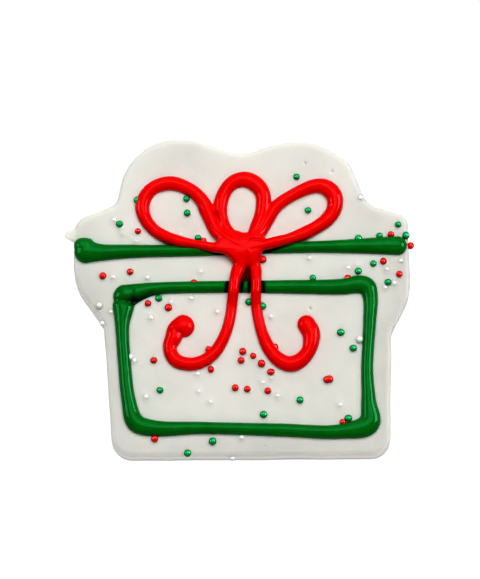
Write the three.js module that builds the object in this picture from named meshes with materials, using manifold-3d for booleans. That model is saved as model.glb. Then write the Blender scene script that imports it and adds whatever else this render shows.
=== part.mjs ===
// An iced dog cookie shaped like a wrapped gift: a flat biscuit under a white coating, with a green
// line for the lid, a green box below it, a red bow laid over both, and small round sprinkles.
// Millimetres, +Z up. The origin is under the middle of the cookie, at the height of its underside;
// +Y points from the box to the bow.
import * as THREE from "three";
import { mergeVertices } from "three/addons/utils/BufferGeometryUtils.js";
import Module from "manifold-3d";

const wasm = await Module();
wasm.setup();

// ---- Driving dimensions ----

const TOP = 9; // height of the coated top above the underside
const EDGE_RADIUS = 1.5; // round shoulder of the coating between the top and the side
const FOOT_HEIGHT = 1.2; // the side tucks in below this height,
const FOOT_INSET = 0.7; // by this much at the underside
const LIP = { x: -48.2, y: 18.9, height: 7.3, length: 5.0, width: 3.0, depth: 2.0, turn: -0.1 };
const LIP_SIDES = 10;
const LIP_RINGS = 6;
const GAP = 0.3; // kept between the icing and whatever it lies on
const SHOULDER_STEPS = 4;
const ARC_STEP = Math.PI / 12; // largest turn between two points of the outline
const WELD = 1e-5; // corners this close are one corner
const FINEST = 0.04; // what cutting leaves finer than this is merged

const BEAD_TALLEST = 2.8; // height above the coating that ever wider beads come near,
const BEAD_FILL = 2.1; // and the width at which they are well on the way to it
const BEAD_ROOT = 0.7; // how far a bead reaches down into the coating
const BEAD_SIDES = 8;
const BEAD_STEP = 2; // between two sections along a bead
const BEAD_END_TURNS = [0.65, 1.31]; // radians round a bead's end at which a section rounds it off
const CROSSING_LIFT = 1.8; // how far the bow climbs where it crosses a green line
const CROSSING_NEAR = 1.2; // distance from the green line within which it is fully lifted,
const CROSSING_FAR = 6.5; // and from which it lies on the coating again

const SPRINKLE_RADIUS = 1;
const WHITE_SPRINKLE_RADIUS = 0.85;
const SPRINKLE_SPREAD = 0.1; // largest difference in size, as a share
const SPRINKLE_SUNK = 0.35; // how much of its height is sunk into the coating
const WHITE_SPRINKLE_SUNK = 0.72; // the white ones are mostly covered by it
const SPRINKLE_SIDES = 6;
const SPRINKLE_RINGS = 4;
const SEED = 2718;
const DRAW_FACTOR = 16807;
const DRAW_RANGE = 2147483647;

// The outline is a belt around circles, anticlockwise from the lid's upper right corner. Side 1 is a
// round corner, side -1 a hollow one that the belt passes on its other side.
const OUTLINE = [
  { x: 45.3, y: 21.9, radius: 3.4, side: 1 }, // lid, upper right corner
  { x: 42.2, y: 33.8, radius: 7.2, side: -1 }, // notch right of the bow
  { x: 25.2, y: 34.9, radius: 8.1, side: 1 }, // right loop, outer side
  { x: 15.9, y: 24.5, radius: 22.0, side: 1 }, // right loop, top
  { x: 0.6, y: 54.9, radius: 11.8, side: -1 }, // dip between the two loops
  { x: -16.5, y: 26.8, radius: 20.1, side: 1 }, // left loop, top
  { x: -18.1, y: 30.3, radius: 16.8, side: 1 }, // left loop, outer side
  { x: -39.4, y: 31.0, radius: 4.2, side: -1 }, // notch left of the bow
  { x: -42.6, y: 19.3, radius: 5.5, side: 1 }, // lid, upper left corner
  { x: -33.3, y: 9.3, radius: 14.8, side: 1 }, // lid, lower left corner
  { x: -44.6, y: -9.6, radius: 5.4, side: -1 }, // step from the lid to the box
  { x: -30.9, y: -40.0, radius: 6.2, side: 1 }, // box, lower left corner
  { x: 37.8, y: -40.1, radius: 5.6, side: 1 }, // box, lower right corner
  { x: 54.0, y: -12.2, radius: 10.3, side: -1 }, // step from the box to the lid
  { x: 33.0, y: 5.0, radius: 16.2, side: 1 }, // lid, lower right corner
];

// Piped beads as [x, y, width], each smoothed through its points.
const LID_LINE = {
  curl: [[-45.8, 15.5, 4.8], [-44.4, 15.5, 4.8]],
  line: [
    [-44.5, 13.9, 7.1], [-40.6, 13.6, 5.1], [-31.9, 13.9, 4.0], [-11.6, 14.2, 3.4], [17.4, 15.1, 3.3],
    [30.4, 15.4, 4.0], [42.0, 15.6, 5.2], [45.6, 15.6, 5.6],
  ],
};
const BOX_LINE = {
  line: [
    [-33.7, -2.3, 6.4], [-34.0, -7.9, 4.2], [-33.4, -18.2, 3.8], [-32.1, -29.8, 4.2],
    [-30.0, -36.3, 5.3], [-24.6, -37.9, 4.7], [-11.6, -37.8, 3.6], [11.6, -38.4, 3.8],
    [29.0, -38.8, 4.3], [37.1, -36.5, 6.3], [37.1, -29.8, 4.3], [36.7, -20.6, 3.5], [37.5, -6.4, 3.8],
    [37.7, 0.4, 4.4], [36.6, 3.7, 5.3], [33.5, 4.2, 5.2], [30.0, 3.6, 4.7], [11.6, 3.5, 3.9],
    [-11.6, 3.4, 3.5], [-24.6, 2.9, 3.8], [-29.2, 1.9, 5.3], [-33.0, 0.6, 7.4],
  ],
};
const BOW = {
  leftLoop: [
    [0.4, 15.4, 2.8], [-3.8, 17.2, 3.4], [-6.8, 19.8, 3.9], [-8.5, 23.3, 4.2], [-9.7, 26.2, 4.5],
    [-11.0, 28.8, 4.1], [-14.2, 31.9, 3.9], [-20.3, 34.0, 4.2], [-25.8, 32.1, 4.0], [-28.3, 27.4, 4.2],
    [-27.4, 23.4, 3.8], [-25.0, 20.3, 3.6], [-21.9, 18.3, 3.5], [-18.0, 16.7, 3.4], [-12.3, 15.6, 2.6],
    [-6.9, 14.6, 3.0], [-1.4, 14.2, 3.0],
  ],
  middleLoop: [
    [-1.0, 17.4, 2.8], [-4.1, 20.6, 3.6], [-5.2, 24.1, 3.4], [-5.6, 27.8, 4.1], [-4.1, 32.0, 4.0],
    [-1.7, 34.4, 4.3], [1.5, 35.1, 4.7], [4.6, 33.7, 4.8], [6.5, 31.1, 4.5], [6.8, 28.3, 4.4],
    [6.2, 24.5, 4.2], [4.8, 20.8, 4.1], [3.0, 17.0, 2.8],
  ],
  rightLoop: [
    [2.6, 15.4, 2.8], [5.5, 18.9, 3.6], [7.7, 22.7, 3.9], [10.4, 27.0, 3.7], [15.3, 30.5, 3.6],
    [21.9, 33.2, 4.2], [25.0, 32.7, 4.8], [27.0, 30.8, 4.9], [27.6, 28.5, 4.7], [26.9, 25.5, 4.4],
    [24.9, 23.0, 4.2], [22.1, 21.0, 3.9], [18.6, 19.1, 3.9], [14.1, 17.3, 3.2], [10.6, 16.4, 3.3],
    [7.6, 15.6, 3.2], [2.0, 14.4, 2.8],
  ],
  rightTail: [
    [2.4, 13.8, 3.0], [4.5, 9.0, 3.4], [4.7, 5.3, 3.2], [4.6, -0.6, 3.1], [5.2, -5.3, 3.2],
    [6.3, -9.8, 3.4], [7.7, -13.3, 3.8], [9.9, -16.7, 4.1], [12.7, -18.7, 4.5], [15.0, -19.1, 4.7],
    [17.6, -17.9, 4.5], [19.7, -15.4, 4.2], [20.6, -12.3, 4.8], [20.5, -9.9, 5.3], [19.2, -7.5, 5.4],
  ],
  leftTail: [
    [1.4, 12.4, 2.6], [-0.3, 9.0, 4.0], [-1.3, 6.0, 3.5], [-2.1, 0.2, 3.2], [-2.9, -5.7, 3.2],
    [-4.2, -10.2, 3.3], [-6.8, -15.1, 3.6], [-10.3, -18.1, 3.8], [-14.5, -19.2, 3.9],
    [-18.8, -17.8, 4.1], [-20.3, -14.2, 4.0], [-19.2, -11.4, 5.0], [-18.4, -9.0, 5.3],
    [-16.5, -8.1, 6.8],
  ],
};

// The pool of icing where the bow's strands meet: its edge, anticlockwise, as [x, y], and its middle.
const KNOT = [
  [-7.6, 14.9], [-5.2, 13.1], [-2.7, 11.4], [-1.8, 9.9], [0.0, 9.2], [2.0, 9.1], [4.0, 9.2],
  [5.6, 10.0], [6.2, 12.6], [7.7, 15.6], [7.2, 18.0], [5.2, 19.8], [2.9, 19.4], [0.6, 19.5],
  [-1.4, 20.2], [-4.9, 20.4], [-6.5, 17.2],
];
const KNOT_MIDDLE = [1.2, 14.8];
const KNOT_HEIGHT = 1.95;
const KNOT_EDGE = 1.3; // width of its rounded edge
const KNOT_EDGE_STEPS = 3;
const KNOT_SHARES = [0.35, 0.65, 0.85]; // ways from the rounded edge to the middle

// Sprinkles as [x, y].
const RED_SPRINKLES = [
  [-29.6, 19.8], [-10.6, 17.0], [-39.7, 6.7], [-31.8, 7.9], [-13.3, 4.5], [43.7, 18.9], [49.4, 15.8],
  [41.5, 11.0], [31.2, 6.0], [46.1, 7.2], [6.6, 11.5], [-26.6, -1.4], [-20.7, -2.6], [-9.1, -14.8],
  [-24.9, -18.1], [-8.4, -20.7], [10.0, -14.2], [0.8, -15.5], [0.3, -18.1], [3.8, -16.8], [6.2, -19.0],
  [8.9, -21.5], [-1.4, -26.1], [2.1, -26.5], [8.0, -27.0], [25.1, -23.7], [25.8, -23.6], [29.6, -36.1],
  [-24.6, -41.0],
];
const GREEN_SPRINKLES = [
  [-15.5, 29.4], [-15.3, 25.2], [-34.9, 21.9], [-29.8, 29.0], [-12.2, 17.9], [-23.5, 0.1],
  [16.4, 35.9], [19.7, 26.0], [11.0, 26.4], [45.8, 21.8], [48.1, 18.6], [40.4, 18.5], [34.3, 17.7],
  [38.6, 10.3], [34.2, 8.1], [42.8, 4.8], [21.1, 6.1], [2.5, -1.0], [6.5, -2.2], [29.1, -9.9],
  [32.7, -14.5], [17.3, -29.7], [6.8, -33.9], [31.2, -35.0], [-23.1, -26.8], [-7.9, -41.7],
  [-15.1, -45.2],
];
const WHITE_SPRINKLES = [
  [-36.5, 23.2], [-34.1, 20.9], [-33.8, 19.2], [-30.0, 16.9], [-25.6, 27.9], [-17.2, 18.9],
  [-36.8, 6.4], [-26.9, 6.2], [-11.4, 8.0], [-14.1, 0.2], [20.1, 12.0], [31.3, 9.1], [34.0, 10.0],
  [42.4, 8.7], [46.6, 11.2], [42.0, 3.4], [44.5, 4.6], [34.9, 29.8], [-37.2, -3.8], [-39.6, -7.0],
  [-20.0, -1.0], [-25.8, -5.5], [-6.5, -3.8], [-30.6, -18.1], [-12.2, -22.0], [-27.2, -28.7],
  [-8.6, -30.2], [-12.0, -27.0], [8.8, -5.2], [9.1, -23.1], [6.6, -24.5], [10.8, -28.4], [28.8, -31.0],
  [0.5, -40.5], [-2.2, -46.3],
];
// White ones that lie on the coating as high as the coloured ones.
const PROUD_SPRINKLES = [
  [34.6, -12.0], [-40.7, -2.0], [-31.9, -17.2],
];

// ---- Solids ----

function solidOf(geometry) {
  geometry.deleteAttribute("normal");
  geometry.deleteAttribute("uv");
  const merged = mergeVertices(geometry, WELD);
  return new wasm.Manifold(
    new wasm.Mesh({
      numProp: 3,
      vertProperties: new Float32Array(merged.attributes.position.array),
      triVerts: new Uint32Array(merged.index.array),
    }),
  );
}

// Joins rings of as many points each, one above the other, and closes the first and the last ring
// with the triangles of `cap`.
function skinRings(rings, cap) {
  const count = rings[0].length;
  const indices = [];
  for (let low = 0; low < (rings.length - 1) * count; low += count) {
    for (let i = 0; i < count; i++) {
      const j = (i + 1) % count;
      indices.push(low + i, low + j, low + count + j, low + i, low + count + j, low + count + i);
    }
  }
  const last = (rings.length - 1) * count;
  for (const [a, b, c] of cap) {
    indices.push(c, b, a, last + a, last + b, last + c);
  }
  const geometry = new THREE.BufferGeometry().setFromPoints(rings.flat());
  geometry.setIndex(indices);
  return geometry;
}

// Triangles that fill a ring from its first point.
function fan(count) {
  return Array.from({ length: count - 2 }, (_, i) => [0, i + 1, i + 2]);
}

function union(solids) {
  return solids.reduce((sum, solid) => sum.add(solid));
}

function largestPiece(solid) {
  return solid.simplify(FINEST).decompose().sort((a, b) => b.volume() - a.volume())[0];
}

// ---- Outline and coating ----

// Direction, away from the cookie, of the straight side from one circle to the next.
function sideNormal(from, to) {
  const along = new THREE.Vector2(to.x - from.x, to.y - from.y);
  const distance = along.length();
  along.normalize();
  const sine = (from.radius * from.side - to.radius * to.side) / distance;
  const cosine = Math.sqrt(1 - sine * sine);
  return Math.atan2(along.y * sine - along.x * cosine, along.x * sine + along.y * cosine);
}

function outline(inset) {
  const points = [];
  OUTLINE.forEach((circle, i) => {
    const before = OUTLINE.at(i - 1);
    const after = OUTLINE[(i + 1) % OUTLINE.length];
    const start = sideNormal(before, circle);
    const turn = sideNormal(circle, after) - start;
    const sweep = Math.atan2(Math.sin(turn), Math.cos(turn));
    const steps = Math.max(1, Math.ceil(Math.abs(sweep) / ARC_STEP));
    const reach = circle.radius * circle.side - inset;
    for (let step = 0; step <= steps; step++) {
      const angle = start + (sweep * step) / steps;
      points.push(new THREE.Vector2(circle.x + reach * Math.cos(angle), circle.y + reach * Math.sin(angle)));
    }
  });
  return points;
}

// The coated biscuit as a stack of outlines, each [inset, height], grown outwards all round.
function coatedBody(grow) {
  const levels = [[FOOT_INSET, -grow], [0, FOOT_HEIGHT]];
  for (let step = 0; step <= SHOULDER_STEPS; step++) {
    const angle = (step / SHOULDER_STEPS) * (Math.PI / 2);
    const inset = EDGE_RADIUS * (1 - Math.cos(angle));
    levels.push([inset, TOP - EDGE_RADIUS * (1 - Math.sin(angle)) + grow]);
  }
  const rings = levels.map(([inset, height]) =>
    outline(inset - grow).map((point) => new THREE.Vector3(point.x, point.y, height)),
  );
  const cap = THREE.ShapeUtils.triangulateShape(outline(EDGE_RADIUS - grow), []);
  return solidOf(skinRings(rings, cap));
}

const border = outline(0);

// Distance from the outline, positive inside it.
function depthInside(x, y) {
  let nearest = Infinity;
  let inside = false;
  border.forEach((start, i) => {
    const end = border[(i + 1) % border.length];
    const side = new THREE.Line3(new THREE.Vector3(start.x, start.y), new THREE.Vector3(end.x, end.y));
    const here = new THREE.Vector3(x, y);
    const foot = side.closestPointToPoint(here, true, new THREE.Vector3());
    nearest = Math.min(nearest, foot.distanceTo(here));
    if (start.y > y !== end.y > y && x < start.x + ((y - start.y) / (end.y - start.y)) * (end.x - start.x)) {
      inside = !inside;
    }
  });
  return inside ? nearest : -nearest;
}

// Height of the coating over a place: level, then down over the round shoulder.
function coatingHeight(x, y) {
  const short = THREE.MathUtils.clamp(EDGE_RADIUS - depthInside(x, y), 0, EDGE_RADIUS);
  return TOP - EDGE_RADIUS + Math.sqrt(EDGE_RADIUS ** 2 - short ** 2);
}

// ---- Piped icing ----

// Places along a bead, a section apart: x, y, with the width as the third value.
function beadPath(controls) {
  const places = controls.map(([x, y, width]) => new THREE.Vector3(x, y, width));
  const curve = new THREE.CatmullRomCurve3(places, false, "centripetal");
  return curve.getSpacedPoints(Math.ceil(curve.getLength() / BEAD_STEP));
}

// One section across the bead, shrunk by `size` where the end rounds off: a half oval over the coating's
// surface and a shallow one below it.
function beadSection(middle, heading, width, above, below, size) {
  const ring = [];
  for (let side = 0; side < BEAD_SIDES; side++) {
    const angle = (side / BEAD_SIDES) * Math.PI * 2;
    const left = (Math.cos(angle) * width * size) / 2;
    const up = Math.sin(angle) * (Math.sin(angle) > 0 ? above : below) * size;
    ring.push(new THREE.Vector3(middle.x - heading.y * left, middle.y + heading.x * left, middle.z + up));
  }
  return ring;
}

function bead(controls, grow, lift) {
  const path = beadPath(controls);
  const rings = [];
  path.forEach((place, i) => {
    const before = path[Math.max(i - 1, 0)];
    const after = path[Math.min(i + 1, path.length - 1)];
    const heading = new THREE.Vector2(after.x - before.x, after.y - before.y).normalize();
    const width = place.z + 2 * grow;
    const above = BEAD_TALLEST * (1 - Math.exp(-place.z / BEAD_FILL)) + grow;
    const seat = coatingHeight(place.x, place.y) + lift(place);
    const addSection = (turn) => {
      const forward = (Math.sin(turn) * width) / 2;
      const middle = new THREE.Vector3(place.x + heading.x * forward, place.y + heading.y * forward, seat);
      rings.push(beadSection(middle, heading, width, above, BEAD_ROOT + grow, Math.cos(turn)));
    };
    if (i === 0) BEAD_END_TURNS.toReversed().forEach((turn) => addSection(-turn));
    addSection(0);
    if (i === path.length - 1) BEAD_END_TURNS.forEach(addSection);
  });
  return solidOf(skinRings(rings, fan(BEAD_SIDES)));
}

function beads(strokes, { grow = 0, lift = () => 0 } = {}) {
  return union(Object.values(strokes).map((controls) => bead(controls, grow, lift)));
}

const greenPlaces = [...Object.values(LID_LINE), ...Object.values(BOX_LINE)].flatMap(beadPath);

// How far the bow is lifted over the coating by the green lines beneath it.
function crossingLift(place) {
  const apart = greenPlaces.map((green) => Math.hypot(green.x - place.x, green.y - place.y));
  return CROSSING_LIFT * (1 - THREE.MathUtils.smoothstep(Math.min(...apart), CROSSING_NEAR, CROSSING_FAR));
}

// The pool in the middle of the bow, with a rounded edge, lifted like the bow.
function knot(grow) {
  const places = KNOT.map(([x, y]) => new THREE.Vector3(x, y));
  const curve = new THREE.CatmullRomCurve3(places, true, "centripetal");
  const count = Math.ceil(curve.getLength() / BEAD_STEP);
  const middle = new THREE.Vector2(...KNOT_MIDDLE);
  const edge = Array.from({ length: count }, (_, i) => {
    const { x, y } = curve.getPointAt(i / count);
    const along = curve.getTangentAt(i / count);
    return { place: new THREE.Vector2(x, y), inward: new THREE.Vector2(-along.y, along.x).normalize() };
  });
  const ring = (inset, share, height) =>
    edge.map(({ place, inward }) => {
      const { x, y } = place.clone().addScaledVector(inward, inset - grow).lerp(middle, share);
      return new THREE.Vector3(x, y, coatingHeight(x, y) + crossingLift({ x, y }) + height);
    });
  const rings = [ring(KNOT_EDGE, KNOT_SHARES.at(-1), -BEAD_ROOT - grow), ring(0, 0, -BEAD_ROOT - grow)];
  for (let step = 0; step <= KNOT_EDGE_STEPS; step++) {
    const turn = ((step / KNOT_EDGE_STEPS) * Math.PI) / 2;
    rings.push(ring(KNOT_EDGE * (1 - Math.cos(turn)), 0, (KNOT_HEIGHT + grow) * Math.sin(turn)));
  }
  KNOT_SHARES.forEach((share) => rings.push(ring(KNOT_EDGE, share, KNOT_HEIGHT + grow)));
  return solidOf(skinRings(rings, fan(count)));
}

const bowBody = (grow) => beads(BOW, { grow, lift: crossingLift }).add(knot(grow));

const underIcing = coatedBody(GAP);
const underBow = union([underIcing, beads(LID_LINE, { grow: GAP }), beads(BOX_LINE, { grow: GAP })]);
const lidLine = largestPiece(beads(LID_LINE).subtract(underIcing));
const boxLine = largestPiece(beads(BOX_LINE).subtract(underIcing));
const bow = largestPiece(bowBody(0).subtract(underBow));

// ---- Sprinkles ----

// Repeatable draws between 0 and 1.
function makeDraw(seed) {
  let state = seed;
  return () => {
    state = (state * DRAW_FACTOR) % DRAW_RANGE;
    return state / DRAW_RANGE;
  };
}

const draw = makeDraw(SEED);

function sprinkle([x, y], size, sunk) {
  const radius = size * (1 + SPRINKLE_SPREAD * (2 * draw() - 1));
  const ball = new THREE.SphereGeometry(radius, SPRINKLE_SIDES, SPRINKLE_RINGS);
  ball.rotateX(Math.PI / 2);
  ball.rotateZ(draw() * Math.PI);
  ball.translate(x, y, coatingHeight(x, y) + radius * (1 - 2 * sunk));
  return solidOf(ball);
}

const sprinkles = union([
  ...[...RED_SPRINKLES, ...GREEN_SPRINKLES, ...PROUD_SPRINKLES].map((place) =>
    sprinkle(place, SPRINKLE_RADIUS, SPRINKLE_SUNK),
  ),
  ...WHITE_SPRINKLES.map((place) => sprinkle(place, WHITE_SPRINKLE_RADIUS, WHITE_SPRINKLE_SUNK)),
]);

// ---- Coated biscuit: body, the lip of coating at the lid's left end, and the sprinkles ----

function coatingLip() {
  const lip = new THREE.SphereGeometry(0.5, LIP_SIDES, LIP_RINGS);
  lip.scale(LIP.length, LIP.width, LIP.depth);
  lip.rotateZ(LIP.turn);
  lip.translate(LIP.x, LIP.y, LIP.height);
  return solidOf(lip);
}

const roundIcing = union([beads(LID_LINE, { grow: GAP }), beads(BOX_LINE, { grow: GAP }), bowBody(GAP)]);
const coatedBiscuit = largestPiece(union([coatedBody(0), coatingLip(), sprinkles.subtract(roundIcing)]));

// ---- Scene graph ----

function meshOf(name, solid, color, roughness) {
  const { numProp, vertProperties, triVerts } = solid.getMesh();
  const geometry = new THREE.BufferGeometry();
  geometry.setAttribute("position", new THREE.BufferAttribute(new Float32Array(vertProperties), numProp));
  geometry.setIndex(new THREE.BufferAttribute(new Uint32Array(triVerts), 1));
  geometry.computeVertexNormals();
  const mesh = new THREE.Mesh(geometry, new THREE.MeshStandardMaterial({ color, roughness, metalness: 0 }));
  mesh.name = name;
  return mesh;
}

const cookie = new THREE.Group();
cookie.add(
  meshOf("coated_biscuit", coatedBiscuit, 0xe6e4dc, 0.45),
  meshOf("lid_line", lidLine, 0x077828, 0.3),
  meshOf("box_line", boxLine, 0x077828, 0.3),
  meshOf("bow", bow, 0xd80a10, 0.3),
);

export default cookie;
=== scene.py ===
"""An iced dog cookie shaped like a wrapped gift: white coating, piped green lid line and box, a piped red
bow, and sugar sprinkles. Places and sizes are in millimetres until a mesh is made, +Z up, +Y to the bow."""
import math
import random

import bmesh
import bpy
import numpy as np
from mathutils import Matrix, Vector
from mathutils.geometry import delaunay_2d_cdt


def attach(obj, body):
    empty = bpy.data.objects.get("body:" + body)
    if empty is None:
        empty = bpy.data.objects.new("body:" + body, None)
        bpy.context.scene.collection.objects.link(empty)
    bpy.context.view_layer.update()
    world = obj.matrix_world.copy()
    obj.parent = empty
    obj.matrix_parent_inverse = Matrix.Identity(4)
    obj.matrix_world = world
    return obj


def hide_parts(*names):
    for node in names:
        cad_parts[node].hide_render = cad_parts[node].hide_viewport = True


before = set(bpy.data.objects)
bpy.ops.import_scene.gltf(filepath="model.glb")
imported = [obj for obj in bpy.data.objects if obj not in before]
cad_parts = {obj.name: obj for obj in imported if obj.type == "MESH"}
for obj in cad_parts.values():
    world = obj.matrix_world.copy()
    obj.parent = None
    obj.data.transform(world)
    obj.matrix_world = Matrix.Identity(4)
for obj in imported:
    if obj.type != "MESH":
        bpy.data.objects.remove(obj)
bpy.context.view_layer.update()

MM = 0.001  # metres in a millimetre

# ---- Sizes of the cookie ----

TOP = 9.0  # height of the coated top above the underside
EDGE_RADIUS = 1.5  # round shoulder of the coating
FOOT_HEIGHT = 1.2  # below this height the side tucks in
FOOT_INSET = 0.7
BEAD_TALLEST = 2.8  # height above the coating that ever wider beads come near,
BEAD_FILL = 2.1  # and the width at which they are well on the way to it
BEAD_ROOT = 0.7  # how far a bead reaches down into the coating
CROSSING_LIFT = 1.8  # how far the bow climbs where it crosses a green line,
CROSSING_NEAR = 1.2  # the distance from that line's middle up to which it is that high,
CROSSING_FAR = 6.5  # and from which it lies on the coating again
SPRINKLE_RADIUS = 1.0
WHITE_SPRINKLE_RADIUS = 0.85
SPRINKLE_SPREAD = 0.1  # largest difference in size, as a share
SPRINKLE_SUNK = 0.35  # how much of its height is sunk into the coating
WHITE_SPRINKLE_SUNK = 0.72  # the white ones are mostly covered by it
SPRINKLE_SQUASH = (0.95, 1.04)  # least and most that one side of a sprinkle is drawn in or out
LUMPS = 4  # waves that make a sprinkle uneven,
LUMP_HEIGHT = 0.012  # their height, as a share of its radius,
LUMP_PACE = 2.2  # and how closely they follow each other
SEED = 2718

# Circles that the outline runs round, anticlockwise: x, y, radius, and 1 for a round corner or -1 for a
# notch.
OUTLINE = [
    (45.3, 21.9, 3.4, 1),  # lid, upper right corner
    (42.2, 33.8, 7.2, -1),  # notch right of the bow
    (25.2, 34.9, 8.1, 1),  # right loop, outer side
    (15.9, 24.5, 22.0, 1),  # right loop, top
    (0.6, 54.9, 11.8, -1),  # dip between the two loops
    (-16.5, 26.8, 20.1, 1),  # left loop, top
    (-18.1, 30.3, 16.8, 1),  # left loop, outer side
    (-39.4, 31.0, 4.2, -1),  # notch left of the bow
    (-42.6, 19.3, 5.5, 1),  # lid, upper left corner
    (-33.3, 9.3, 14.8, 1),  # lid, lower left corner
    (-44.6, -9.6, 5.4, -1),  # step from the lid to the box
    (-30.9, -40.0, 6.2, 1),  # box, lower left corner
    (37.8, -40.1, 5.6, 1),  # box, lower right corner
    (54.0, -12.2, 10.3, -1),  # step from the box to the lid
    (33.0, 5.0, 16.2, 1),  # lid, lower right corner
]

# Piped beads, each smoothed through its points: x, y, width.
LID_LINE = {
    "curl": [(-45.8, 15.5, 4.8), (-44.4, 15.5, 4.8)],
    "line": [
        (-44.5, 13.9, 7.1), (-40.6, 13.6, 5.1), (-31.9, 13.9, 4.0), (-11.6, 14.2, 3.4), (17.4, 15.1, 3.3),
        (30.4, 15.4, 4.0), (42.0, 15.6, 5.2), (45.6, 15.6, 5.6),
    ],
}
BOX_LINE = {
    "line": [
        (-33.7, -2.3, 6.4), (-34.0, -7.9, 4.2), (-33.4, -18.2, 3.8), (-32.1, -29.8, 4.2),
        (-30.0, -36.3, 5.3), (-24.6, -37.9, 4.7), (-11.6, -37.8, 3.6), (11.6, -38.4, 3.8),
        (29.0, -38.8, 4.3), (37.1, -36.5, 6.3), (37.1, -29.8, 4.3), (36.7, -20.6, 3.5),
        (37.5, -6.4, 3.8), (37.7, 0.4, 4.4), (36.6, 3.7, 5.3), (33.5, 4.2, 5.2), (30.0, 3.6, 4.7),
        (11.6, 3.5, 3.9), (-11.6, 3.4, 3.5), (-24.6, 2.9, 3.8), (-29.2, 1.9, 5.3), (-33.0, 0.6, 7.4),
    ],
}
BOW = {
    "leftLoop": [
        (0.4, 15.4, 2.8), (-3.8, 17.2, 3.4), (-6.8, 19.8, 3.9), (-8.5, 23.3, 4.2), (-9.7, 26.2, 4.5),
        (-11.0, 28.8, 4.1), (-14.2, 31.9, 3.9), (-20.3, 34.0, 4.2), (-25.8, 32.1, 4.0), (-28.3, 27.4, 4.2),
        (-27.4, 23.4, 3.8), (-25.0, 20.3, 3.6), (-21.9, 18.3, 3.5), (-18.0, 16.7, 3.4), (-12.3, 15.6, 2.6),
        (-6.9, 14.6, 3.0), (-1.4, 14.2, 3.0),
    ],
    "middleLoop": [
        (-1.0, 17.4, 2.8), (-4.1, 20.6, 3.6), (-5.2, 24.1, 3.4), (-5.6, 27.8, 4.1), (-4.1, 32.0, 4.0),
        (-1.7, 34.4, 4.3), (1.5, 35.1, 4.7), (4.6, 33.7, 4.8), (6.5, 31.1, 4.5), (6.8, 28.3, 4.4),
        (6.2, 24.5, 4.2), (4.8, 20.8, 4.1), (3.0, 17.0, 2.8),
    ],
    "rightLoop": [
        (2.6, 15.4, 2.8), (5.5, 18.9, 3.6), (7.7, 22.7, 3.9), (10.4, 27.0, 3.7), (15.3, 30.5, 3.6),
        (21.9, 33.2, 4.2), (25.0, 32.7, 4.8), (27.0, 30.8, 4.9), (27.6, 28.5, 4.7), (26.9, 25.5, 4.4),
        (24.9, 23.0, 4.2), (22.1, 21.0, 3.9), (18.6, 19.1, 3.9), (14.1, 17.3, 3.2), (10.6, 16.4, 3.3),
        (7.6, 15.6, 3.2), (2.0, 14.4, 2.8),
    ],
    "rightTail": [
        (2.4, 13.8, 3.0), (4.5, 9.0, 3.4), (4.7, 5.3, 3.2), (4.6, -0.6, 3.1), (5.2, -5.3, 3.2),
        (6.3, -9.8, 3.4), (7.7, -13.3, 3.8), (9.9, -16.7, 4.1), (12.7, -18.7, 4.5), (15.0, -19.1, 4.7),
        (17.6, -17.9, 4.5), (19.7, -15.4, 4.2), (20.6, -12.3, 4.8), (20.5, -9.9, 5.3), (19.2, -7.5, 5.4),
    ],
    "leftTail": [
        (1.4, 12.4, 2.6), (-0.3, 9.0, 4.0), (-1.3, 6.0, 3.5), (-2.1, 0.2, 3.2), (-2.9, -5.7, 3.2),
        (-4.2, -10.2, 3.3), (-6.8, -15.1, 3.6), (-10.3, -18.1, 3.8), (-14.5, -19.2, 3.9),
        (-18.8, -17.8, 4.1), (-20.3, -14.2, 4.0), (-19.2, -11.4, 5.0), (-18.4, -9.0, 5.3),
        (-16.5, -8.1, 6.8),
    ],
}

# Pools of icing, the edge anticlockwise as x, y: where the bow's strands meet, and a thin one between
# its two tails, coloured near black as painted shade. Each has a height and the width of its rounded edge.
KNOT = [
    (-7.6, 14.9), (-5.2, 13.1), (-2.7, 11.4), (-1.8, 9.9), (0.0, 9.2), (2.0, 9.1), (4.0, 9.2), (5.6, 10.0),
    (6.2, 12.6), (7.7, 15.6), (7.2, 18.0), (5.2, 19.8), (2.9, 19.4), (0.6, 19.5), (-1.4, 20.2),
    (-4.9, 20.4), (-6.5, 17.2),
]
KNOT_HEIGHT = 1.95
KNOT_EDGE = 1.3
KNOT_MIDDLE = (1.2, 14.8)
WEB = [(-1.0, 10.5), (-1.0, 6.4), (-0.6, 5.0), (3.9, 5.0), (4.4, 6.4), (4.6, 10.5), (2.0, 11.5)]
WEB_HEIGHT = 0.6
WEB_EDGE = 0.4
WEB_MIDDLE = (1.9, 7.5)

# Creases where one stretch of icing lies against another, coloured with painted shade: x, y and depth at
# each end, then how far the crease spreads to each side.
LID_CREASES = [
    (-11.0, 14.1, 0.3, -3.0, 12.6, 1.8, 0.6),  # under the bow's lower strands
    (5.9, 13.3, 1.8, 14.8, 15.6, 0.3, 0.6),
]
BOX_CREASES = [
    (-35.2, -0.7, 0.2, -30.5, -1.0, 0.9, 1.2),  # under the mass at the upper left corner
    (-30.5, -1.0, 0.9, -25.5, 1.0, 0.6, 0.8),
    (-31.4, 3.8, 0.1, -30.9, 0.0, 0.3, 0.7),
    (-3.5, 4.6, 1.4, -3.8, 1.4, 2.2, 0.6),  # beside the bow's left tail
    (0.4, 5.2, 2.0, -0.1, 1.2, 2.2, 0.6),
    (3.0, 5.2, 2.0, 3.0, 1.2, 2.2, 0.6),  # beside its right tail
    (6.4, 4.6, 1.4, 6.5, 1.4, 2.2, 0.6),
]
BOW_CREASES = [
    (-19.6, -9.0, 0.2, -17.4, -10.2, 0.4, 0.9),  # under the left tail's last drop
    (-7.0, 25.0, 0.5, -5.6, 22.0, 0.2, 0.5),  # between the left and the middle loop
    (2.8, 16.9, 0.3, 7.2, 16.7, 0.4, 0.4),  # under the ends of the two right strands
]
CREASE_FLOOR = 0.2  # no crease comes nearer to the coating than this
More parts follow.
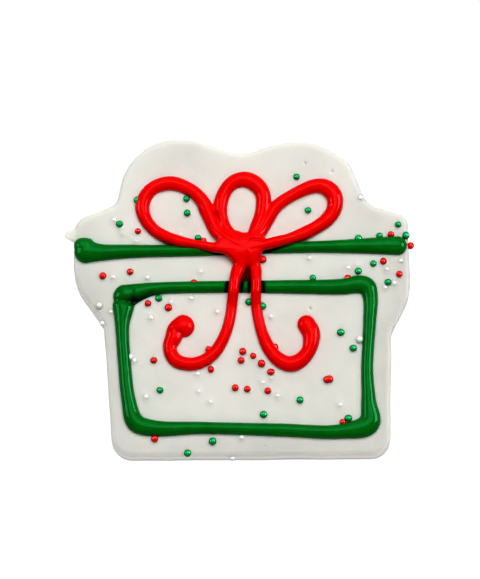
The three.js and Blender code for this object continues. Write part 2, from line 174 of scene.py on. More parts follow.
CREASE_SHADE_DEPTH = 1.1  # depth from which on a crease's painted shade is at its deepest

# Sprinkles: x, y.
RED_SPRINKLES = [
    (-29.6, 19.8), (-10.6, 17.0), (-39.7, 6.7), (-31.8, 7.9), (-13.3, 4.5), (43.7, 18.9), (49.4, 15.8),
    (41.5, 11.0), (31.2, 6.0), (46.1, 7.2), (6.6, 11.5), (-26.6, -1.4), (-20.7, -2.6), (-9.1, -14.8),
    (-24.9, -18.1), (-8.4, -20.7), (10.0, -14.2), (0.8, -15.5), (0.3, -18.1), (3.8, -16.8), (6.2, -19.0),
    (8.9, -21.5), (-1.4, -26.1), (2.1, -26.5), (8.0, -27.0), (25.1, -23.7), (25.8, -23.6), (29.6, -36.1),
    (-24.6, -41.0),
]
GREEN_SPRINKLES = [
    (-15.5, 29.4), (-15.3, 25.2), (-34.9, 21.9), (-29.8, 29.0), (-12.2, 17.9), (-23.5, 0.1), (16.4, 35.9),
    (19.7, 26.0), (11.0, 26.4), (45.8, 21.8), (48.1, 18.6), (40.4, 18.5), (34.3, 17.7), (38.6, 10.3),
    (34.2, 8.1), (42.8, 4.8), (21.1, 6.1), (2.5, -1.0), (6.5, -2.2), (29.1, -9.9), (32.7, -14.5),
    (17.3, -29.7), (6.8, -33.9), (31.2, -35.0), (-23.1, -26.8), (-7.9, -41.7), (-15.1, -45.2),
]
WHITE_SPRINKLES = [
    (-36.5, 23.2), (-34.1, 20.9), (-33.8, 19.2), (-30.0, 16.9), (-25.6, 27.9), (-17.2, 18.9), (-36.8, 6.4),
    (-26.9, 6.2), (-11.4, 8.0), (-14.1, 0.2), (20.1, 12.0), (31.3, 9.1), (34.0, 10.0), (42.4, 8.7),
    (46.6, 11.2), (42.0, 3.4), (44.5, 4.6), (34.9, 29.8), (-37.2, -3.8), (-39.6, -7.0), (-20.0, -1.0),
    (-25.8, -5.5), (-6.5, -3.8), (-30.6, -18.1), (-12.2, -22.0), (-27.2, -28.7), (-8.6, -30.2),
    (-12.0, -27.0), (8.8, -5.2), (9.1, -23.1), (6.6, -24.5), (10.8, -28.4), (28.8, -31.0), (0.5, -40.5),
    (-2.2, -46.3),
]
PROUD_SPRINKLES = [(34.6, -12.0), (-40.7, -2.0), (-31.9, -17.2)]  # white ones that lie on the coating

# Unevenness of the coating. Swells have a height, a number of waves, the distance between crests, and a
# seed.
TOP_SWELLS = [(0.05, 9, 22, 11), (0.02, 9, 7, 12)]
SIDE_SWELLS = (0.1, 8, 16, 13)
SIDE_SWELLS_FROM = 0.2  # height above the underside where the side starts to swell
SWELL_SPREAD = (0.7, 1.5)  # shortest and longest wave, as a share of the distance between crests
RELIEF_FADE = 3.0  # width of the band inside the shoulder over which the top becomes uneven
DRAWN_UP = 0.3  # how high the coating is drawn up at a sprinkle that lies on it,
WHITE_DRAWN_UP = 0.36  # and over one that is sunk in it,
DRAWN_UP_REACH = 1.05  # and how far round it
PINHOLES = [(18.9, 39.9, 0.4), (26.7, 37.6, 0.4), (20.3, -2.8, 0.4), (7.4, -43.2, 0.3)]  # x, y, radius
PINHOLE_DEPTH = 0.5
LIP = (-48.6, 18.8, 7.9)  # where a drip of coating stands out of the side
LIP_REACH = 2.8
LIP_WIDTH = 1.6
LIP_HEIGHT = 0.7
LIP_SQUARENESS = 4  # how abruptly the drip starts along the side

# Painted light and shade on the coating, as a place on its scale of tones: 0 is painted light, 1 the
# deepest painted shade.
OWN_TONE_LEVEL = 0.5  # its own tone, over most of the top
SHADE_BELOW = 24  # painted shade starts below this y,
SHADE_BELOW_RIGHT = 14  # or this much further up
RIGHT_FROM = 25  # to the right of this x,
SHADE_FADE = 18  # and is deepest this much further down:
LOWER_SHADE = 0.03  # by this much everywhere there,
RIM_SHADE = 0.16  # and by this much more at the outline,
RIM_SHADE_REACH = 6.5  # fading over this distance inside it
NEAR_FACING = 0.4  # sides that face the back less than this count, more and more, as the near side,
NEAR_EDGE_LIGHT_REACH = 0.9  # where painted light makes it paler from this far inside the outline,
FOOT_SHADE_TOP = 5.5  # and painted shade makes it greyer below this height,
FOOT_SHADE_FADE = 3.5  # deepest this much further down

# ---- How finely the meshes are made ----

CORNER_POINTS = 24
RIM_STEP = 0.5
TOP_STEP = 0.42
TOP_GAP = 0.6  # room kept to the shoulder, in steps
PINHOLE_GAP = 1.6  # room kept to a pinhole's middle, in radii
PINHOLE_RINGS = (0.0, 0.4, 0.8, 1.3)
PINHOLE_SIDES = 10
SHOULDER_STEPS = 12
SIDE_STEPS = 7
FOOT_STEPS = 4
INSIDE_BORDER = 1  # asks for the triangles within the border alone
MERGE_WITHIN = 1e-5
CURVE_STEPS = 24
BEAD_STEP = 0.6
BEAD_SIDES = 24
BEAD_END_STEPS = 6
CROSSING_STEP = 1.0
POOL_EDGE_STEPS = 5
POOL_SHARES = (0.25, 0.5, 0.75, 0.9)
ICING_VOXEL = 0.22
ICING_SMOOTHING = 14
ICING_FLOW = 0.5
BALL_SUBDIVISIONS = 4

# ---- Camera, light and floor ----

CAMERA_ELEVATION = math.radians(80)
CAMERA_DISTANCE = 1864.0
CAMERA_AIM = (0.0, 3.25, 6.0)
CAMERA_LENS = 400.0
CAMERA_CLIP = 0.01  # metres
WORLD_COLOR = (0.97, 0.98, 1.0, 1.0)
WORLD_STRENGTH = 0.09
FLOOR = [(-900, -900, 0), (900, -900, 0), (900, 900, 0), (-900, 900, 0)]

# Soft lights that face the cookie: name, place, width, length, power, and the kind of ray that misses it.
LIGHTS = [
    ("sky", (200, 660, 1750), 1500, 1300, 23.4, None),
    ("front_fill", (0, -800, 450), 900, 500, 0.6, "visible_glossy"),
    ("back_glow", (100, 740, 520), 1300, 700, 4.0, "visible_diffuse"),
    ("left_window", (-600, 110, 320), 400, 380, 3.0, "visible_diffuse"),
    ("right_window", (600, 110, 320), 400, 380, 5.2, "visible_diffuse"),
]


def look_along(thing, place, aim):
    """Put a camera or light at a place, turned to the aim."""
    thing.location = Vector(place) * MM
    thing.rotation_euler = (Vector(aim) - Vector(place)).to_track_quat("-Z", "Y").to_euler()
    bpy.context.scene.collection.objects.link(thing)


def make_camera():
    """A long lens, a little in front of straight above."""
    camera = bpy.data.objects.new("camera", bpy.data.cameras.new("camera"))
    camera.data.lens = CAMERA_LENS
    camera.data.clip_start = CAMERA_CLIP
    back = Vector((0, -math.cos(CAMERA_ELEVATION), math.sin(CAMERA_ELEVATION))) * CAMERA_DISTANCE
    look_along(camera, Vector(CAMERA_AIM) + back, CAMERA_AIM)
    bpy.context.scene.camera = camera


def soft_box(name, place, width, length, power):
    """A rectangular light that faces the cookie and isn't seen itself."""
    lamp = bpy.data.lights.new(name, "AREA")
    lamp.shape = "RECTANGLE"
    lamp.size = width * MM
    lamp.size_y = length * MM
    lamp.energy = power
    stand = bpy.data.objects.new(name, lamp)
    stand.visible_camera = False
    look_along(stand, place, (0, 0, 0))
    return stand


def light_scene():
    """A soft light high over the back of the cookie, a weak one in front that gloss doesn't show, and a
    glow and two windows that show in gloss alone."""
    world = bpy.data.worlds.new("studio")
    bpy.context.scene.world = world
    world.use_nodes = True
    background = world.node_tree.nodes["Background"]
    background.inputs["Color"].default_value = WORLD_COLOR
    background.inputs["Strength"].default_value = WORLD_STRENGTH
    for name, place, width, length, power, missed_by in LIGHTS:
        light = soft_box(name, place, width, length, power)
        if missed_by:
            setattr(light, missed_by, False)
    view = bpy.context.scene.view_settings
    view.view_transform = "Standard"
    view.look = "Very High Contrast"


# ---- Materials ----

LIT_PALE_TONE = (0.92, 0.9, 0.85, 1)  # tones of the coating: paler clouds and painted light, its own tone, greyer clouds and painted shade
EVEN_TONE = (0.77, 0.763, 0.72, 1)
SHADED_GREY_TONE = (0.54, 0.53, 0.51, 1)
PATCH_TONE = (0.74, 0.735, 0.7, 1)
CLOUDING = 0.34  # how much lighter or greyer the clouds make it look
PATCHING = 0.2  # the most of the patches' tone that it takes on
MIX_FIRST, MIX_SECOND, MIX_RESULT = 6, 7, 2  # the colour sockets of a Mix node


class Value:
    """A number that changes over a surface. Sums with it add Math nodes to its material."""

    def __init__(self, finish, socket):
        self.finish = finish
        self.socket = socket

    def __add__(self, other):
        return self.finish.maths("ADD", self, other)

    def __sub__(self, other):
        return self.finish.maths("SUBTRACT", self, other)

    def __mul__(self, other):
        return self.finish.maths("MULTIPLY", self, other)

    __radd__ = __add__


class Finish:
    """A material that is built node by node round one Principled shader."""

    def __init__(self, name, **constants):
        self.material = bpy.data.materials.new(name)
        self.material.use_nodes = True
        self.tree = self.material.node_tree
        self.shader = self.tree.nodes["Principled BSDF"]
        for socket, value in constants.items():
            self.shader.inputs[socket.replace("_", " ")].default_value = value
        place = self.node("ShaderNodeTexCoord", output="Object")
        millimetres = {"Vector": place, "Scale": 1 / MM}
        self.place = self.node("ShaderNodeVectorMath", {"operation": "SCALE"}, millimetres)

    def node(self, kind, settings=None, inputs=None, output=0):
        """Adds a node and gives the value that comes out of it."""
        made = self.tree.nodes.new(kind)
        for name, setting in (settings or {}).items():
            if name == "stops":
                self.set_stops(made.color_ramp, setting)
            else:
                setattr(made, name, setting)
        self.feed(made, inputs or {})
        return Value(self, made.outputs[output])

    @staticmethod
    def set_stops(ramp, stops):
        while len(ramp.elements) < len(stops):
            ramp.elements.new(1.0)
        for element, (position, color) in zip(ramp.elements, stops):
            element.position = position
            element.color = color

    def feed(self, node, inputs):
        for name, given in inputs.items():
            if isinstance(given, Value):
                self.tree.links.new(given.socket, node.inputs[name])
            else:
                node.inputs[name].default_value = given

    def maths(self, operation, first, second):
        return self.node("ShaderNodeMath", {"operation": operation}, {0: first, 1: second})

    def noise(self, size, detail=2.0, roughness=0.5):
        """Soft random patches between 0 and 1, about `size` millimetres across."""
        settings = {"noise_dimensions": "3D"}
        inputs = {"Vector": self.place, "Scale": 1 / size, "Detail": detail, "Roughness": roughness}
        return self.node("ShaderNodeTexNoise", settings, inputs, "Fac")

    def ramp(self, factor, stops):
        return self.node("ShaderNodeValToRGB", {"stops": stops}, {"Fac": factor}, "Color")

    def mix(self, factor, first, second):
        inputs = {"Factor": factor, MIX_FIRST: first, MIX_SECOND: second}
        return self.node("ShaderNodeMix", {"data_type": "RGBA"}, inputs, MIX_RESULT)

    def bump(self, height, distance):
        return self.node("ShaderNodeBump", {}, {"Height": height, "Distance": distance * MM}, "Normal")

    def marked(self, name):
        """The number that a mesh keeps for each of its points under this name."""
        return self.node("ShaderNodeAttribute", {"attribute_name": name}, {}, "Fac")

    def wear(self, **varying):
        """Gives the shader what varies over the surface, and hands over the finished material."""
        self.feed(self.shader, {name.replace("_", " "): value for name, value in varying.items()})
        return self.material


def coating_finish():
    """Set yoghurt coating: off-white, satin, cloudy, with painted shade towards the box, the rim and the
    near foot, and painted light over the near edge.
    """
    finish = Finish(
        "white_coating",
        Subsurface_Weight=1.0,
        Subsurface_Radius=(2.0 * MM, 1.8 * MM, 1.6 * MM),
        Subsurface_Scale=1.0,
        Specular_IOR_Level=0.12,
    )
    clouds = finish.noise(16.0, detail=3.0, roughness=0.55) * CLOUDING - CLOUDING / 2
    tones = [(0.0, LIT_PALE_TONE), (OWN_TONE_LEVEL, EVEN_TONE), (1.0, SHADED_GREY_TONE)]
    # painted light and shade from the mesh, with random clouds on top
    color = finish.ramp(finish.marked("thinning") + clouds, tones)
    color = finish.mix(finish.noise(2.4) * PATCHING, color, PATCH_TONE)
    grain = finish.noise(0.35, roughness=0.6) * 0.35 + finish.noise(1.6)
    return finish.wear(
        Base_Color=color,
        Roughness=0.36 + finish.noise(5.0) * 0.2,
        Normal=finish.bump(grain, distance=0.035),
    )


def icing_finish(name, deep, bright, crease_shade_tone, shine):
    """Set glossy icing: saturated, a little paler in streaks, with painted shade where a crease lies."""
    finish = Finish(
        name,
        Subsurface_Weight=0.08,
        Subsurface_Radius=(0.6 * MM, 0.3 * MM, 0.3 * MM),
        Subsurface_Scale=1.0,
        Specular_IOR_Level=0.16,
        Specular_Tint=shine,
    )
    streaks = finish.noise(3.2, detail=3.0, roughness=0.55)
    color = finish.ramp(streaks, [(0.3, deep), (0.7, bright)])
    ripple = finish.noise(1.1) + finish.noise(0.3, detail=1.0) * 0.15
    return finish.wear(
        # painted shade in the creases
        Base_Color=finish.mix(finish.marked("pressed"), color, crease_shade_tone),
        Roughness=0.08 + finish.noise(1.8) * 0.12,
        Normal=finish.bump(ripple, distance=0.02),
    )


def sugar_finish(name, deep, bright, shine, roughness):
    """Sugar ball with an uneven coat of colour, with painted shade towards its foot and painted light at
    its top.
    """
    finish = Finish(
        name,
        Specular_IOR_Level=0.8,
        Specular_Tint=shine,
        Subsurface_Weight=0.1,
        Subsurface_Scale=0.5 * MM,
    )
    # the ball's height picks painted shade at its foot and painted light at its top
    height = finish.marked("height") + finish.noise(0.8) * 0.2
    return finish.wear(
        Base_Color=finish.ramp(height, [(0.5, deep), (1.0, bright)]),
        Roughness=roughness + finish.noise(0.5, detail=1.0) * 0.06,
        Normal=finish.bump(finish.noise(0.5), distance=0.03),
    )


def floor_finish():
    """A floor that glows, so that it comes out white round the cookie."""
    finish = Finish(
        "pale_floor",
        Specular_IOR_Level=0.1,
        Emission_Strength=0.6,
        Emission_Color=(1, 1, 1, 1),
    )
    tone = finish.ramp(finish.noise(200.0), [(0.3, (0.04, 0.04, 0.04, 1)), (0.7, (0.06, 0.06, 0.06, 1))])
    return finish.wear(Base_Color=tone, Roughness=0.8 + finish.noise(60.0) * 0.1)


# ---- Meshes ----


def make_mesh(name, places, faces, material):
    """An object at the origin from places in millimetres."""
    mesh = bpy.data.meshes.new(name)
    mesh.from_pydata((np.asarray(places) * MM).tolist(), [], [list(map(int, face)) for face in faces])
    mesh.materials.append(material)
    mesh.shade_smooth()
    made = bpy.data.objects.new(name, mesh)
    bpy.context.scene.collection.objects.link(made)
    return made


def ring_bands(rings, count):
    """Faces between stacked rings of `count` points each."""
    faces = []
    for low in range(0, (rings - 1) * count, count):
        high = low + count
        for i in range(count):
            j = (i + 1) % count
            faces.append((low + i, low + j, high + j, high + i))
    return faces


def closed_bands(rings, count):
    """The same, with a face over the first and the last ring."""
    last = (rings - 1) * count
    return [*ring_bands(rings, count), [*range(count)][::-1], [last + i for i in range(count)]]


def joined(solids):
    """Places and faces of several solids as those of one."""
    places, faces = [], []
    start = 0
    for more, sides in solids:
        places.append(more)
        faces += [[start + i for i in side] for side in sides]
        start += len(more)
    return np.vstack(places), faces


def mark(mesh, name, shares):
    """Keep a number for each point of a mesh, which its material reads under this name."""
    mesh.attributes.new(name, "FLOAT", "POINT").data.foreach_set("value", shares)


def dress(piece, node):
    """Let a piece ride the cookie's only body, in the place of one of its solids."""
    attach(piece, "root")
    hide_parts(node)


def even_steps(places, step, closed):
    """Points spread evenly along a line through the given ones, whose further columns follow along."""
    line = np.vstack([places, places[:1]]) if closed else places
    run = np.concatenate([[0], np.cumsum(np.linalg.norm(np.diff(line[:, :2], axis=0), axis=1))])
    count = math.ceil(run[-1] / step)
    marks = np.linspace(0, run[-1], count + 1)[: count if closed else None]
    return np.column_stack([np.interp(marks, run, column) for column in line.T])


# ---- Outline and coating ----


def side_normal(start, end):
    """Direction, away from the cookie, of the straight side from one circle to the next."""
    along = np.subtract(end[:2], start[:2])
    distance = np.hypot(*along)
    x, y = along / distance
    sine = (start[2] * start[3] - end[2] * end[3]) / distance
    cosine = math.sqrt(1 - sine**2)
    return math.atan2(y * sine - x * cosine, x * sine + y * cosine)


def outline():
    """Evenly spaced points of the outline, anticlockwise: x, y and the outward direction there."""
    points = []
    for i, circle in enumerate(OUTLINE):
        start = side_normal(OUTLINE[i - 1], circle)
        turn = side_normal(circle, OUTLINE[(i + 1) % len(OUTLINE)]) - start
        sweep = math.atan2(math.sin(turn), math.cos(turn))
        for angle in np.linspace(start, start + sweep, CORNER_POINTS):
            out = np.array((math.cos(angle), math.sin(angle)))
            points.append((*(circle[:2] + circle[2] * circle[3] * out), *out))
    rim = even_steps(np.array(points), RIM_STEP, closed=True)
    rim[:, 2:] /= np.linalg.norm(rim[:, 2:], axis=1, keepdims=True)
    return rim


rim = outline()


def depth_inside(points):
    """Distance of each point from the outline, positive inside it."""
    points = np.asarray(points, float)[:, :2]
    starts = rim[:, :2]
    sides = np.roll(starts, -1, axis=0) - starts
    nearest = np.full(len(points), np.inf)
    inside = np.zeros(len(points), bool)
    for start, side in zip(starts, sides):
        offset = points - start
        share = np.clip(offset @ side / (side @ side), 0, 1)
        nearest = np.minimum(nearest, np.linalg.norm(offset - share[:, None] * side, axis=1))
        if side[1] != 0:
            crosses = (offset[:, 1] > 0) != (offset[:, 1] > side[1])
            inside ^= crosses & (offset[:, 0] < offset[:, 1] / side[1] * side[0])
    return np.where(inside, nearest, -nearest)


def coating_height(points):
    """Height of the coating over each point: level, then down over the round shoulder."""
    short = np.clip(EDGE_RADIUS - depth_inside(points), 0, EDGE_RADIUS)
    return TOP - EDGE_RADIUS + np.sqrt(EDGE_RADIUS**2 - short**2)


def swells(points, count, size, seed):
    """Gentle waves over a plane, at most about 1 high, with crests about `size` millimetres apart."""
    draw = random.Random(seed)
    height = np.zeros(len(points))
    for _ in range(count):
        heading = draw.uniform(0, math.tau)
        pace = math.tau / (size * draw.uniform(*SWELL_SPREAD))
        along = points[:, 0] * math.cos(heading) + points[:, 1] * math.sin(heading)
        height += np.sin(along * pace + draw.uniform(0, math.tau)) / math.sqrt(count)
    return height


def top_relief(points):
    """Unevenness of the coated top: swells, coating drawn up round the sprinkles, and pinholes."""
    relief = sum(height * swells(points, *waves) for height, *waves in TOP_SWELLS)
    lying = RED_SPRINKLES + GREEN_SPRINKLES + PROUD_SPRINKLES
    spots = [(*place, DRAWN_UP_REACH, DRAWN_UP) for place in lying]
    spots += [(*place, DRAWN_UP_REACH, WHITE_DRAWN_UP) for place in WHITE_SPRINKLES]
    spots += [(*pinhole, -PINHOLE_DEPTH) for pinhole in PINHOLES]
    for x, y, reach, height in spots:
        apart = np.hypot(points[:, 0] - x, points[:, 1] - y)
        relief += height * np.exp(-((apart / reach) ** 2))
    return relief * np.clip((depth_inside(points) - EDGE_RADIUS) / RELIEF_FADE, 0, 1)


def coating_shade_and_light(points):
    """Painted light and shade on the coating, from 0 to 1: painted shade all round the box and the ends of
    the lid, more towards the rim, painted light where the top rounds over the near edge, and the deepest
    painted shade at the near side's foot."""
    deep = depth_inside(points)
    nearest = np.hypot(points[:, 0, None] - rim[:, 0], points[:, 1, None] - rim[:, 1]).argmin(axis=1)
    # painted shade towards the lower part and the rim
    start = SHADE_BELOW + SHADE_BELOW_RIGHT * (points[:, 0] > RIGHT_FROM)
    low = np.clip((start - points[:, 1]) / SHADE_FADE, 0, 1)
    at_rim = np.exp(-((np.maximum(deep, 0) / RIM_SHADE_REACH) ** 2))
    lower_shade_amount = low * (RIM_SHADE * at_rim + LOWER_SHADE)
    near = np.clip(NEAR_FACING - rim[nearest, 3], 0, 1)
    # painted light where the top rounds over the near edge
    over = np.clip(1 - deep / NEAR_EDGE_LIGHT_REACH, 0, 1) * near
    # painted shade at the near side's foot
    foot = np.clip((FOOT_SHADE_TOP - points[:, 2]) / FOOT_SHADE_FADE, 0, 1) * near
    return np.maximum(OWN_TONE_LEVEL + lower_shade_amount * (1 - over) - OWN_TONE_LEVEL * over, foot)


def side_ring(inset, height):
    """One level of the side and shoulder, with the lip that stands out of it."""
    out = rim[:, 2:]
    flat = rim[:, :2] - out * inset
    wave_height, *waves = SIDE_SWELLS
    apart = np.hypot(rim[:, 0] - LIP[0], rim[:, 1] - LIP[1]) / LIP_WIDTH
    lip = LIP_REACH * np.exp(-(apart**LIP_SQUARENESS) - ((height - LIP[2]) / LIP_HEIGHT) ** 2)
    above_foot = np.clip((height - SIDE_SWELLS_FROM) / FOOT_HEIGHT, 0, 1)
    fade = above_foot * np.clip((TOP - height) / EDGE_RADIUS, 0, 1)
    flat += out * (lip + wave_height * swells(rim, *waves) * fade)[:, None]
    return np.column_stack([flat, np.full(len(rim), height)])


def top_points():
    """A close pattern of places over the top, inside the shoulder, with rings of them at the pinholes."""
    low, high = rim[:, :2].min(axis=0), rim[:, :2].max(axis=0)
    rows = np.arange(low[1], high[1], TOP_STEP * math.sqrt(3) / 2)
    places = [
        (x, y)
        for row, y in enumerate(rows)
        for x in np.arange(low[0] + (row % 2) * TOP_STEP / 2, high[0], TOP_STEP)
    ]
    places = np.array(places)
    places = places[depth_inside(places) > EDGE_RADIUS + TOP_STEP * TOP_GAP]
    extra = []
    for x, y, radius in PINHOLES:
        places = places[np.hypot(places[:, 0] - x, places[:, 1] - y) > radius * PINHOLE_GAP]
        for size in PINHOLE_RINGS:
            for turn in np.linspace(0, math.tau, PINHOLE_SIDES, endpoint=False):
                extra.append((x + size * radius * math.cos(turn), y + size * radius * math.sin(turn)))
    return np.vstack([places, np.unique(np.round(extra, 4), axis=0)])


def make_coating(material):
    """The coated biscuit: rings up its side and over the shoulder, then an uneven top inside them."""
    levels = [(FOOT_INSET, 0.0)]
    for turn in np.linspace(0, math.pi / 2, FOOT_STEPS + 1)[1:]:
        levels.append((FOOT_INSET * (1 - math.sin(turn)), FOOT_HEIGHT * (1 - math.cos(turn))))
    straight = np.linspace(FOOT_HEIGHT, TOP - EDGE_RADIUS, SIDE_STEPS)[1:]
    levels += [(0.0, height) for height in straight]
    for turn in np.linspace(0, math.pi / 2, SHOULDER_STEPS + 1)[1:]:
        levels.append((EDGE_RADIUS * (1 - math.cos(turn)), TOP - EDGE_RADIUS * (1 - math.sin(turn))))
    rings = np.vstack([side_ring(inset, height) for inset, height in levels])
    count = len(rim)
    faces = ring_bands(len(levels), count)

    crest = rings[-count:, :2]
    flat = [Vector(place) for place in np.vstack([crest, top_points()])]
    border = [(i, (i + 1) % count) for i in range(count)]
    places, _, triangles, sources, _, _ = delaunay_2d_cdt(flat, border, [], INSIDE_BORDER, MERGE_WITHIN)
    top = np.array([tuple(place) for place in places])
    heights = TOP + top_relief(top)
    first = len(rings) - count
    numbers = {}
    extra = []
    for i, source in enumerate(sources):
        if source and source[0] < count:
            numbers[i] = first + source[0]
        else:
            numbers[i] = len(rings) + len(extra)
            extra.append((*top[i], heights[i]))
    faces += [[numbers[i] for i in triangle] for triangle in triangles]
    faces.append(list(range(count))[::-1])
    places = np.vstack([rings, extra])
    made = make_mesh("coating", places, faces, material)
    # painted light and shade for the coating's colour
    mark(made.data, "thinning", coating_shade_and_light(places))
    return made


# ---- Piped icing ----


def smooth_line(controls, step, closed=False):
    """A centripetal Catmull-Rom curve through the controls, as evenly spaced places."""
    given = np.array(controls, float)
    if closed:
        posts = np.vstack([given[-1:], given, given[:2]])
    else:
        posts = np.vstack([2 * given[0] - given[1], given, 2 * given[-1] - given[-2]])
    share = np.linspace(0, 1, CURVE_STEPS + 1)[:-1, None]
    pieces = []
    for a, b, c, d in zip(posts, posts[1:], posts[2:], posts[3:]):
        before, here, after = (math.sqrt(np.linalg.norm(v)) for v in (b - a, c - b, d - c))
        leave = ((b - a) / before - (c - a) / (before + here) + (c - b) / here) * here
        arrive = ((c - b) / here - (d - b) / (here + after) + (d - c) / after) * here
        pieces.append(
            (2 * share**3 - 3 * share**2 + 1) * b
            + (share**3 - 2 * share**2 + share) * leave
            + (3 * share**2 - 2 * share**3) * c
            + (share**3 - share**2) * arrive
        )
    if not closed:
        pieces.append(given[-1:])
    return even_steps(np.vstack(pieces), step, closed)


green_lines = [*LID_LINE.values(), *BOX_LINE.values()]
green_places = np.vstack([smooth_line(line, CROSSING_STEP) for line in green_lines])


def crossing_lift(path):
    """How far the bow is lifted off the coating by the green lines beneath it."""
    apart = np.hypot(path[:, 0, None] - green_places[:, 0], path[:, 1, None] - green_places[:, 1])
    share = np.clip((apart.min(axis=1) - CROSSING_NEAR) / (CROSSING_FAR - CROSSING_NEAR), 0, 1)
    return CROSSING_LIFT * (1 - share**2 * (3 - 2 * share))


def bead(controls, lifted=False):
    """Places and faces of one piped bead with round ends."""
    path = smooth_line(controls, BEAD_STEP)
    heading = np.gradient(path[:, :2], axis=0)
    heading /= np.linalg.norm(heading, axis=1, keepdims=True)
    width = path[:, 2]
    height = BEAD_TALLEST * (1 - np.exp(-width / BEAD_FILL))
    middle = coating_height(path) + (crossing_lift(path) if lifted else 0)
    sections = [(i, 0.0, 1.0) for i in range(len(path))]
    turns = np.linspace(0, math.pi / 2, BEAD_END_STEPS + 2)[1:-1]
    sections = [(0, -math.sin(turn), math.cos(turn)) for turn in turns[::-1]] + sections
    sections += [(len(path) - 1, math.sin(turn), math.cos(turn)) for turn in turns]
    around = np.linspace(0, math.tau, BEAD_SIDES, endpoint=False)
    places = []
    for i, forward, size in sections:
        x, y = path[i, :2] + heading[i] * forward * width[i] / 2
        left = np.cos(around) * width[i] * size / 2
        reach = np.where(np.sin(around) > 0, height[i], BEAD_ROOT)
        up = np.sin(around) * reach * size
        places.append(np.column_stack([x - heading[i, 1] * left, y + heading[i, 0] * left, middle[i] + up]))
    return np.vstack(places), closed_bands(len(sections), BEAD_SIDES)


def pool(controls, middle, height, rounding, lifted=False):
    """Places and faces of a pool of icing with a rounded edge, that follows what it lies on."""
    edge = smooth_line(controls, BEAD_STEP, closed=True)
    along = np.roll(edge, -1, axis=0) - np.roll(edge, 1, axis=0)
    inward = np.column_stack([-along[:, 1], along[:, 0]]) / np.linalg.norm(along, axis=1, keepdims=True)
    levels = [(edge, -BEAD_ROOT)]
    for turn in np.linspace(0, math.pi / 2, POOL_EDGE_STEPS + 1):
        levels.append((edge + inward * rounding * (1 - math.cos(turn)), height * math.sin(turn)))
    crown = levels[-1][0]
    levels += [(crown + (middle - crown) * share, height) for share in POOL_SHARES]
    rings = []
    for ring, level in levels:
        seat = coating_height(ring) + (crossing_lift(ring) if lifted else 0)
        rings.append(np.column_stack([ring, seat + level]))
    return np.vstack(rings), closed_bands(len(rings), len(edge))


def press_creases(mesh, creases):
    """Press each crease down into the icing, but not into the coating, and mark how far, as painted shade
    for the material.
    """
    points = np.empty(len(mesh.vertices) * 3)
    mesh.vertices.foreach_get("co", points)
    points = points.reshape(-1, 3) / MM
    lowest = np.minimum(points[:, 2], TOP + CREASE_FLOOR)
    pressed = np.zeros(len(points))
    for x, y, depth, end_x, end_y, end_depth, width in creases:
        side = np.array((end_x - x, end_y - y))
        offset = points[:, :2] - (x, y)
        share = np.clip(offset @ side / (side @ side), 0, 1)
        apart = np.linalg.norm(offset - share[:, None] * side, axis=1)
        down = (depth + (end_depth - depth) * share) * np.exp(-((apart / width) ** 2))
        points[:, 2] -= down
        pressed += down
    points[:, 2] = np.maximum(points[:, 2], lowest)
    mesh.vertices.foreach_set("co", (points * MM).ravel())
    # the crease depth, which the material paints as shade
    mark(mesh, "pressed", np.clip(pressed / CREASE_SHADE_DEPTH, 0, 1))


def make_icing(name, solids, creases, material):
    """Beads run together into one skin, with creases sunk into it that carry painted shade."""
    rough = make_mesh(name + "_rough", *joined(solids), material)
    remesh = rough.modifiers.new("fuse", "REMESH")
    remesh.mode = "VOXEL"
    remesh.voxel_size = ICING_VOXEL * MM
    remesh.use_smooth_shade = True
    smooth = rough.modifiers.new("flow", "SMOOTH")
    smooth.factor = ICING_FLOW
    smooth.iterations = ICING_SMOOTHING
    fused = bpy.data.meshes.new_from_object(rough.evaluated_get(bpy.context.evaluated_depsgraph_get()))
    bpy.data.objects.remove(rough)
    fused.name = name
    press_creases(fused, creases)
    fused.shade_smooth()
    made = bpy.data.objects.new(name, fused)
    bpy.context.scene.collection.objects.link(made)
    return made


# ---- Sprinkles ----


def ball_shape():
    """A fine unit ball: its points and triangles."""
    shape = bmesh.new()
    bmesh.ops.create_icosphere(shape, subdivisions=BALL_SUBDIVISIONS, radius=1.0)
    points = np.array([vert.co[:] for vert in shape.verts])
    faces = [[vert.index for vert in face.verts] for face in shape.faces]
    shape.free()
    return points, faces


def make_sprinkles(name, spots, material, draw, size=SPRINKLE_RADIUS, sunk=SPRINKLE_SUNK):
    """Slightly lumpy balls, each sunk by a share of its height into the coating."""
    ball, sides = ball_shape()
    balls = []
    for (x, y), height in zip(spots, coating_height(spots)):
        radius = size * (1 + SPRINKLE_SPREAD * (2 * draw.random() - 1))
        lumps = np.zeros(len(ball))
        for _ in range(LUMPS):
            heading = [draw.gauss(0, LUMP_PACE) for _ in range(3)]
            lumps += np.sin(ball @ heading + draw.uniform(0, math.tau))
        squash = [draw.uniform(*SPRINKLE_SQUASH) for _ in range(3)]
        shaped = ball * (1 + LUMP_HEIGHT * lumps[:, None]) * squash * radius
        balls.append((shaped + (x, y, height + radius * (1 - 2 * sunk)), sides))
    made = make_mesh(name, *joined(balls), material)
    # each point's height on its ball, which the sugar paints as shade at the foot and light at the top
    mark(made.data, "height", np.tile(np.clip(ball[:, 2], 0, 1), len(spots)))
    return made


# ---- The cookie ----

make_camera()
light_scene()

floor = make_mesh("floor", FLOOR, [(0, 1, 2, 3)], floor_finish())

coating = make_coating(coating_finish())
dress(coating, "coated_biscuit")

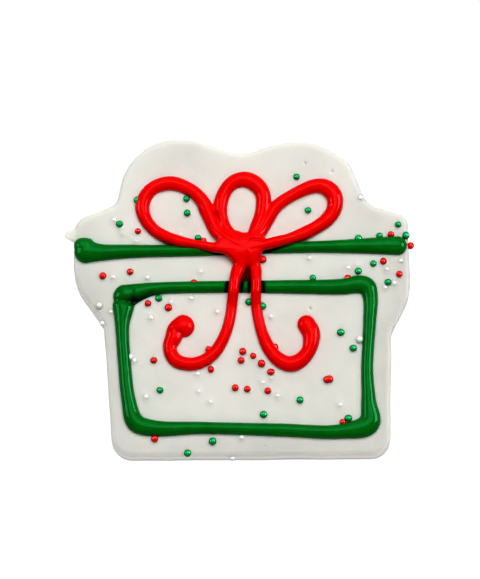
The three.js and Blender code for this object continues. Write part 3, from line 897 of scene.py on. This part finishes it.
green = icing_finish(
    "green_icing",
    deep=(0.001, 0.19, 0.018, 1),
    bright=(0.002, 0.23, 0.026, 1),
    crease_shade_tone=(0.001, 0.01, 0.001, 1),
    shine=(0.36, 0.9, 0.74, 1),
)
red = icing_finish(
    "red_icing",
    deep=(0.78, 0.0006, 0.001, 1),
    bright=(0.88, 0.001, 0.0015, 1),
    crease_shade_tone=(0.3, 0.0003, 0.0003, 1),
    shine=(1.0, 0.5, 0.55, 1),
)
# Near-black red for the web between the tails: painted shade in that gap.
shaded_web = icing_finish(
    "shaded_web_icing",
    deep=(0.05, 0.0006, 0.0005, 1),
    bright=(0.16, 0.0008, 0.0005, 1),
    crease_shade_tone=(0.01, 0.0, 0.0, 1),
    shine=(0.3, 0.02, 0.02, 1),
)
lid_icing = make_icing("lid_icing", [bead(line) for line in LID_LINE.values()], LID_CREASES, green)
box_icing = make_icing("box_icing", [bead(line) for line in BOX_LINE.values()], BOX_CREASES, green)
bow_solids = [bead(line, lifted=True) for line in BOW.values()]
bow_solids.append(pool(KNOT, KNOT_MIDDLE, KNOT_HEIGHT, KNOT_EDGE, lifted=True))
bow_icing = make_icing("bow_icing", bow_solids, BOW_CREASES, red)
# the web, in icing coloured as painted shade
web = make_mesh("web", *pool(WEB, WEB_MIDDLE, WEB_HEIGHT, WEB_EDGE), shaded_web)
dress(lid_icing, "lid_line")
dress(box_icing, "box_line")
dress(bow_icing, "bow")
dress(web, "bow")

# For sugar, deep is the painted shade at a ball's foot and bright the painted light at its top.
red_sugar = sugar_finish(
    "red_sugar",
    deep=(0.42, 0.001, 0.003, 1),
    bright=(0.95, 0.012, 0.01, 1),
    shine=(1.0, 0.5, 0.4, 1),
    roughness=0.08,
)
green_sugar = sugar_finish(
    "green_sugar",
    deep=(0.001, 0.15, 0.03, 1),
    bright=(0.005, 0.44, 0.12, 1),
    shine=(0.25, 1.0, 0.6, 1),
    roughness=0.1,
)
white_sugar = sugar_finish(
    "white_sugar",
    deep=(0.73, 0.725, 0.7, 1),
    bright=(0.8, 0.79, 0.765, 1),
    shine=(1, 1, 1, 1),
    roughness=0.4,
)
draw = random.Random(SEED)
red_sprinkles = make_sprinkles("red_sprinkles", RED_SPRINKLES, red_sugar, draw)
green_sprinkles = make_sprinkles("green_sprinkles", GREEN_SPRINKLES, green_sugar, draw)
white_sprinkles = make_sprinkles(
    "white_sprinkles", WHITE_SPRINKLES, white_sugar, draw, WHITE_SPRINKLE_RADIUS, WHITE_SPRINKLE_SUNK
)
proud_sprinkles = make_sprinkles("proud_sprinkles", PROUD_SPRINKLES, white_sugar, draw)
dress(red_sprinkles, "coated_biscuit")
dress(green_sprinkles, "coated_biscuit")
dress(white_sprinkles, "coated_biscuit")
dress(proud_sprinkles, "coated_biscuit")
